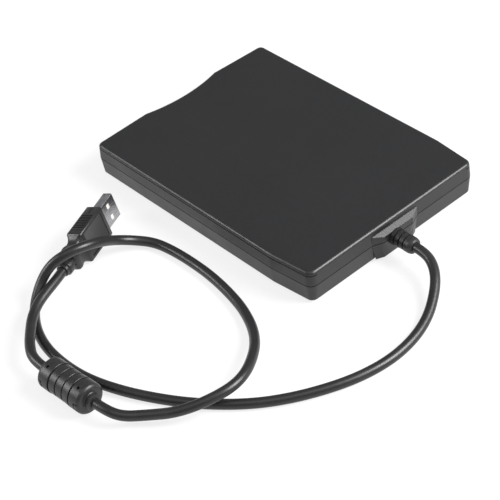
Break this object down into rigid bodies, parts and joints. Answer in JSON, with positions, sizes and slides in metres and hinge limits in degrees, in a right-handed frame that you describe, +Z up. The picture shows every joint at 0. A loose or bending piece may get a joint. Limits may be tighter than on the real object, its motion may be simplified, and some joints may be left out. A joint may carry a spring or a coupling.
{
  "type": "external floppy disk drive",
  "caption": "Slim dark portable drive for 3.5-inch disks with a front slot, side eject button, full disk mechanism inside, and a USB lead with a choke and plug.",
  "frame": {"origin": "centre of the housing in plan, at the bottom of the rubber feet", "axes": "+X to the right seen from the front, +Y from the disk slot towards the back where the lead leaves, +Z up"},
  "size_m": [0.2122, 0.1923, 0.0215],
  "materials": {
    "case_plastic": "fine texture",
    "bezel_plastic": "fine texture",
    "button_plastic": "satin",
    "flap_plastic": "satin",
    "clear_plastic": "clear",
    "lamp": "clear",
    "foot_rubber": "soft",
    "screw_steel": "plated",
    "zinc_sheet": "zinc plated",
    "brass": "turned",
    "green_board": "solder mask",
    "copper": "wound wire",
    "rotor_steel": "pressed",
    "acetal": "moulded",
    "carriage_plastic": "moulded",
    "ceramic": "lapped",
    "polished_steel": "ground",
    "motor_can": "drawn",
    "spring_steel": "wound",
    "chip_black": "moulded",
    "cord_black": "soft jacket",
    "choke_plastic": "moulded",
    "ferrite": "sintered",
    "plug_plastic": "moulded",
    "plug_steel": "nickel plated",
    "tongue_plastic": "moulded",
    "gold": "plated"
  },
  "bodies": {
    "drive": {"board_standoffs": "brass", "bottom_cover": "case_plastic", "capacitors": "motor_can", "chassis_pan": "zinc_sheet", "chassis_screws": "screw_steel", "choke_shell": "choke_plastic", "controller_chips": "chip_black", "crystal": "motor_can", "disk_switches": "chip_black", "eject_springs": "spring_steel", "ferrite_core": "ferrite", "flex_connector": "acetal", "foot_front_left": "foot_rubber", "foot_front_right": "foot_rubber", "foot_rear_left": "foot_rubber", "foot_rear_right": "foot_rubber", "front_bezel": "bezel_plastic", "guide_rod": "polished_steel", "housing_screws": "screw_steel", "lead_connector": "acetal", "lead_wires": "cord_black", "light_pipe": "clear_plastic", "main_board": "green_board", "mechanism_shield": "zinc_sheet", "motor_board": "green_board", "plug_contacts": "gold", "plug_cord": "cord_black", "plug_grip": "plug_plastic", "plug_shell": "plug_steel", "plug_tongue": "tongue_plastic", "rod_clamps": "zinc_sheet", "screw_bearing": "acetal", "spindle_bearing": "brass", "stator_coils": "copper", "status_lamp": "lamp", "stepper_bracket": "zinc_sheet", "stepper_motor": "motor_can", "strain_relief": "cord_black", "top_cover": "case_plastic", "track_sensor": "chip_black", "usb_cord": "cord_black"},
    "ejector": {"slide_plate": "zinc_sheet", "eject_button": "button_plastic"},
    "holder": {"disk_holder": "zinc_sheet", "holder_pins": "screw_steel"},
    "latch": {"latch_lever": "acetal"},
    "flap": {"door_flap": "flap_plastic"},
    "rotor": {"spindle_rotor": "rotor_steel", "drive_pin": "acetal"},
    "carriage": {"head_carriage": "carriage_plastic", "lower_head": "ceramic"},
    "arm": {"upper_head_arm": "carriage_plastic", "upper_head": "ceramic"},
    "screw": {"lead_screw": "polished_steel"}
  },
  "joints": [
    {"name": "eject_slide", "type": "slide", "parent": "drive", "child": "ejector", "axis": [0, -1, 0], "range_m": [0, 0.005]},
    {"name": "holder_drop", "type": "slide", "parent": "drive", "child": "holder", "axis": [0, 0, -1], "range_m": [0, 0.0024]},
    {"name": "latch_swing", "type": "hinge", "parent": "drive", "child": "latch", "pos_m": [-0.034, 0.034, 0.0099], "axis": [0, 0, 1], "range_deg": [0, 38]},
    {"name": "flap_swing", "type": "hinge", "parent": "drive", "child": "flap", "pos_m": [0, -0.0643, 0.0139], "axis": [1, 0, 0], "range_deg": [0, 88], "stiffness_Nm_per_rad": 0.0005},
    {"name": "spindle_spin", "type": "hinge", "parent": "drive", "child": "rotor", "pos_m": [0, -0.02, 0.006], "axis": [0, 0, 1], "continuous": true},
    {"name": "carriage_slide", "type": "slide", "parent": "drive", "child": "carriage", "axis": [0, -1, 0], "range_m": [0, 0.0148]},
    {"name": "arm_swing", "type": "hinge", "parent": "carriage", "child": "arm", "pos_m": [0, 0.0495, 0.0134], "axis": [1, 0, 0], "range_deg": [0, 9.4]},
    {"name": "screw_spin", "type": "hinge", "parent": "drive", "child": "screw", "pos_m": [-0.017, 0.04, 0.0076], "axis": [0, 1, 0], "range_deg": [0, 1800]}
  ],
  "couplings": [
    {"joint": "holder_drop", "follows": "eject_slide", "ratio": 0.48},
    {"joint": "latch_swing", "follows": "eject_slide", "rad_per_m": 132.6},
    {"joint": "arm_swing", "follows": "eject_slide", "rad_per_m": 32.46},
    {"joint": "screw_spin", "follows": "carriage_slide", "rad_per_m": 2094.4}
  ]
}
